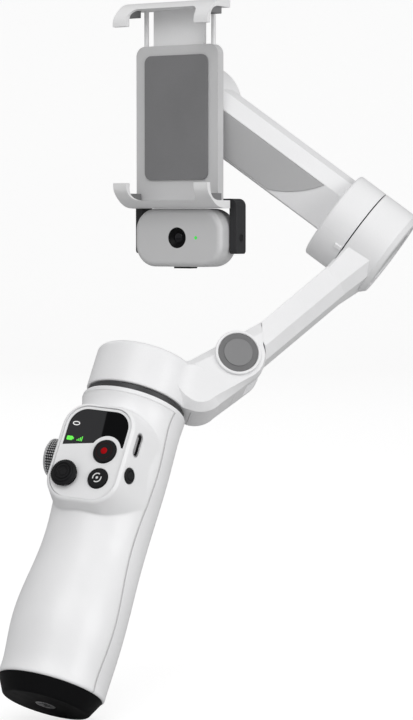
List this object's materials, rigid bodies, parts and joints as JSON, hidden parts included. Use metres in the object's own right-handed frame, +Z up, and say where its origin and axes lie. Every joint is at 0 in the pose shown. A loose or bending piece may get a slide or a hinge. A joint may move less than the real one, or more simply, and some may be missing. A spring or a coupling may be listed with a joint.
{
  "type": "handheld phone gimbal",
  "caption": "Handheld three-axis phone stabilizer with a folding arm, a sprung phone clamp, a control handle and a tracking camera.",
  "frame": {"origin": "centre of the mouth of the tripod thread under the handle", "axes": "+Z up with the phone clamp level, +X to the user's right along the phone, -Y towards the user; the handle leans back towards +Y by 29.2 degrees"},
  "size_m": [0.1118, 0.179, 0.2728],
  "materials": {
    "white_shell": "satin moulded plastic",
    "gray_arm_plastic": "satin moulded plastic, light gray",
    "black_plastic": "fine matt texture",
    "soft_black": "soft-touch rubber",
    "display_gloss": "polished black window",
    "silver_wheel": "knurled and anodised",
    "steel": "turned and brushed",
    "motor_steel": "zinc plated",
    "copper_winding": "enamelled wire",
    "circuit_board": "solder mask",
    "battery_wrap": "shrink wrap",
    "inner_plastic": "moulded",
    "gray_pad": "soft liner",
    "lens_glass": "polished lens stack",
    "status_light": "translucent light pipe"
  },
  "bodies": {
    "handle": {"handle_front_shell": "white_shell", "handle_rear_shell": "white_shell", "handle_top_ring": "white_shell", "pan_base": "inner_plastic", "base_cap": "black_plastic", "tripod_insert": "steel", "control_panel": "white_shell", "display_window": "display_gloss", "main_board": "circuit_board", "battery_cell": "battery_wrap", "battery_cradle": "inner_plastic", "usb_port": "steel", "joystick_base": "inner_plastic", "wheel_bracket": "steel", "button_switches": "inner_plastic", "pan_stator": "copper_winding", "pan_bearings": "steel", "trigger_pin": "steel"},
    "joystick_gimbal_ring": {"joystick_ring": "steel"},
    "joystick": {"joystick_cap": "soft_black"},
    "record_button": {"record_button": "soft_black"},
    "mode_button": {"mode_button": "soft_black"},
    "power_button": {"power_button": "soft_black"},
    "zoom_wheel": {"zoom_wheel": "silver_wheel"},
    "trigger": {"trigger": "black_plastic"},
    "lower_arm": {"pan_drum": "white_shell", "lower_arm_cover": "white_shell", "pan_rotor": "motor_steel", "fold_pin": "steel", "hinge_disc": "gray_arm_plastic"},
    "upper_arm": {"upper_arm": "white_shell", "upper_arm_cover": "white_shell", "tilt_end_cap": "gray_arm_plastic", "tilt_stator": "copper_winding", "tilt_bearings": "steel"},
    "tilt_arm": {"tilt_arm": "white_shell", "tilt_arm_cover": "gray_arm_plastic", "roll_end_cap": "gray_arm_plastic", "tilt_rotor": "motor_steel", "roll_stator": "copper_winding", "roll_bearings": "steel"},
    "clamp": {"roll_rotor": "motor_steel", "clamp_body": "gray_arm_plastic", "lower_jaw": "gray_arm_plastic", "clamp_pads": "gray_pad", "clamp_springs": "steel", "tracker_bracket": "black_plastic"},
    "upper_jaw": {"upper_jaw": "gray_arm_plastic", "upper_jaw_pads": "gray_pad", "guide_rods": "steel"},
    "tracker": {"tracker_front_shell": "gray_arm_plastic", "tracker_rear_shell": "gray_arm_plastic", "tracker_lens": "lens_glass", "tracker_light": "status_light", "tracker_board": "circuit_board", "tracker_pins": "black_plastic", "tracker_foot": "black_plastic"}
  },
  "joints": [
    {"name": "pan", "type": "hinge", "parent": "handle", "child": "lower_arm", "pos_m": [0, 0.06006, 0.10746], "axis": [0, 0.4879, 0.8729], "range_deg": [-150, 150], "stiffness_Nm_per_rad": 10},
    {"name": "fold", "type": "hinge", "parent": "lower_arm", "child": "upper_arm", "pos_m": [0.0256, 0.09008, 0.12149], "axis": [0.6032, -0.6962, 0.3891], "range_deg": [-58, 0], "stiffness_Nm_per_rad": 20},
    {"name": "tilt", "type": "hinge", "parent": "upper_arm", "child": "tilt_arm", "pos_m": [0.05284, 0.14212, 0.17237], "axis": [0.7421, 0.3111, -0.5937], "range_deg": [-100, 100], "stiffness_Nm_per_rad": 5},
    {"name": "roll", "type": "hinge", "parent": "tilt_arm", "child": "clamp", "pos_m": [-0.0112, 0.11527, 0.22361], "axis": [0, 1, 0], "range_deg": [-90, 90], "stiffness_Nm_per_rad": 2},
    {"name": "clamp_open", "type": "slide", "parent": "clamp", "child": "upper_jaw", "axis": [0, 0, 1], "range_m": [-0.01, 0.012], "stiffness_N_per_m": 150, "deforming": ["clamp_springs"]},
    {"name": "tracker_tilt", "type": "hinge", "parent": "clamp", "child": "tracker", "pos_m": [-0.0112, 0.11677, 0.17026], "axis": [1, 0, 0], "range_deg": [0, 35]},
    {"name": "joystick_pitch", "type": "hinge", "parent": "handle", "child": "joystick_gimbal_ring", "pos_m": [-0.00446, 0.02324, 0.08026], "axis": [0.989, 0.129, -0.0721], "range_deg": [-10, 10]},
    {"name": "joystick_yaw", "type": "hinge", "parent": "joystick_gimbal_ring", "child": "joystick", "pos_m": [-0.00446, 0.02324, 0.08026], "axis": [0, 0.4879, 0.8729], "range_deg": [-10, 10]},
    {"name": "record_press", "type": "slide", "parent": "handle", "child": "record_button", "axis": [-0.1478, 0.8633, -0.4825], "range_m": [0, 0.0008]},
    {"name": "mode_press", "type": "slide", "parent": "handle", "child": "mode_button", "axis": [-0.1478, 0.8633, -0.4825], "range_m": [0, 0.0008]},
    {"name": "power_press", "type": "slide", "parent": "handle", "child": "power_button", "axis": [-0.9952, 0.0854, -0.0477], "range_m": [0, 0.0008]},
    {"name": "zoom_spin", "type": "hinge", "parent": "handle", "child": "zoom_wheel", "pos_m": [-0.01733, 0.03398, 0.08663], "axis": [0.989, 0.129, -0.0721], "continuous": true},
    {"name": "trigger_pull", "type": "hinge", "parent": "handle", "child": "trigger", "pos_m": [-0.00254, 0.06266, 0.07725], "axis": [0.989, 0.129, -0.0721], "range_deg": [-8, 0]}
  ]
}
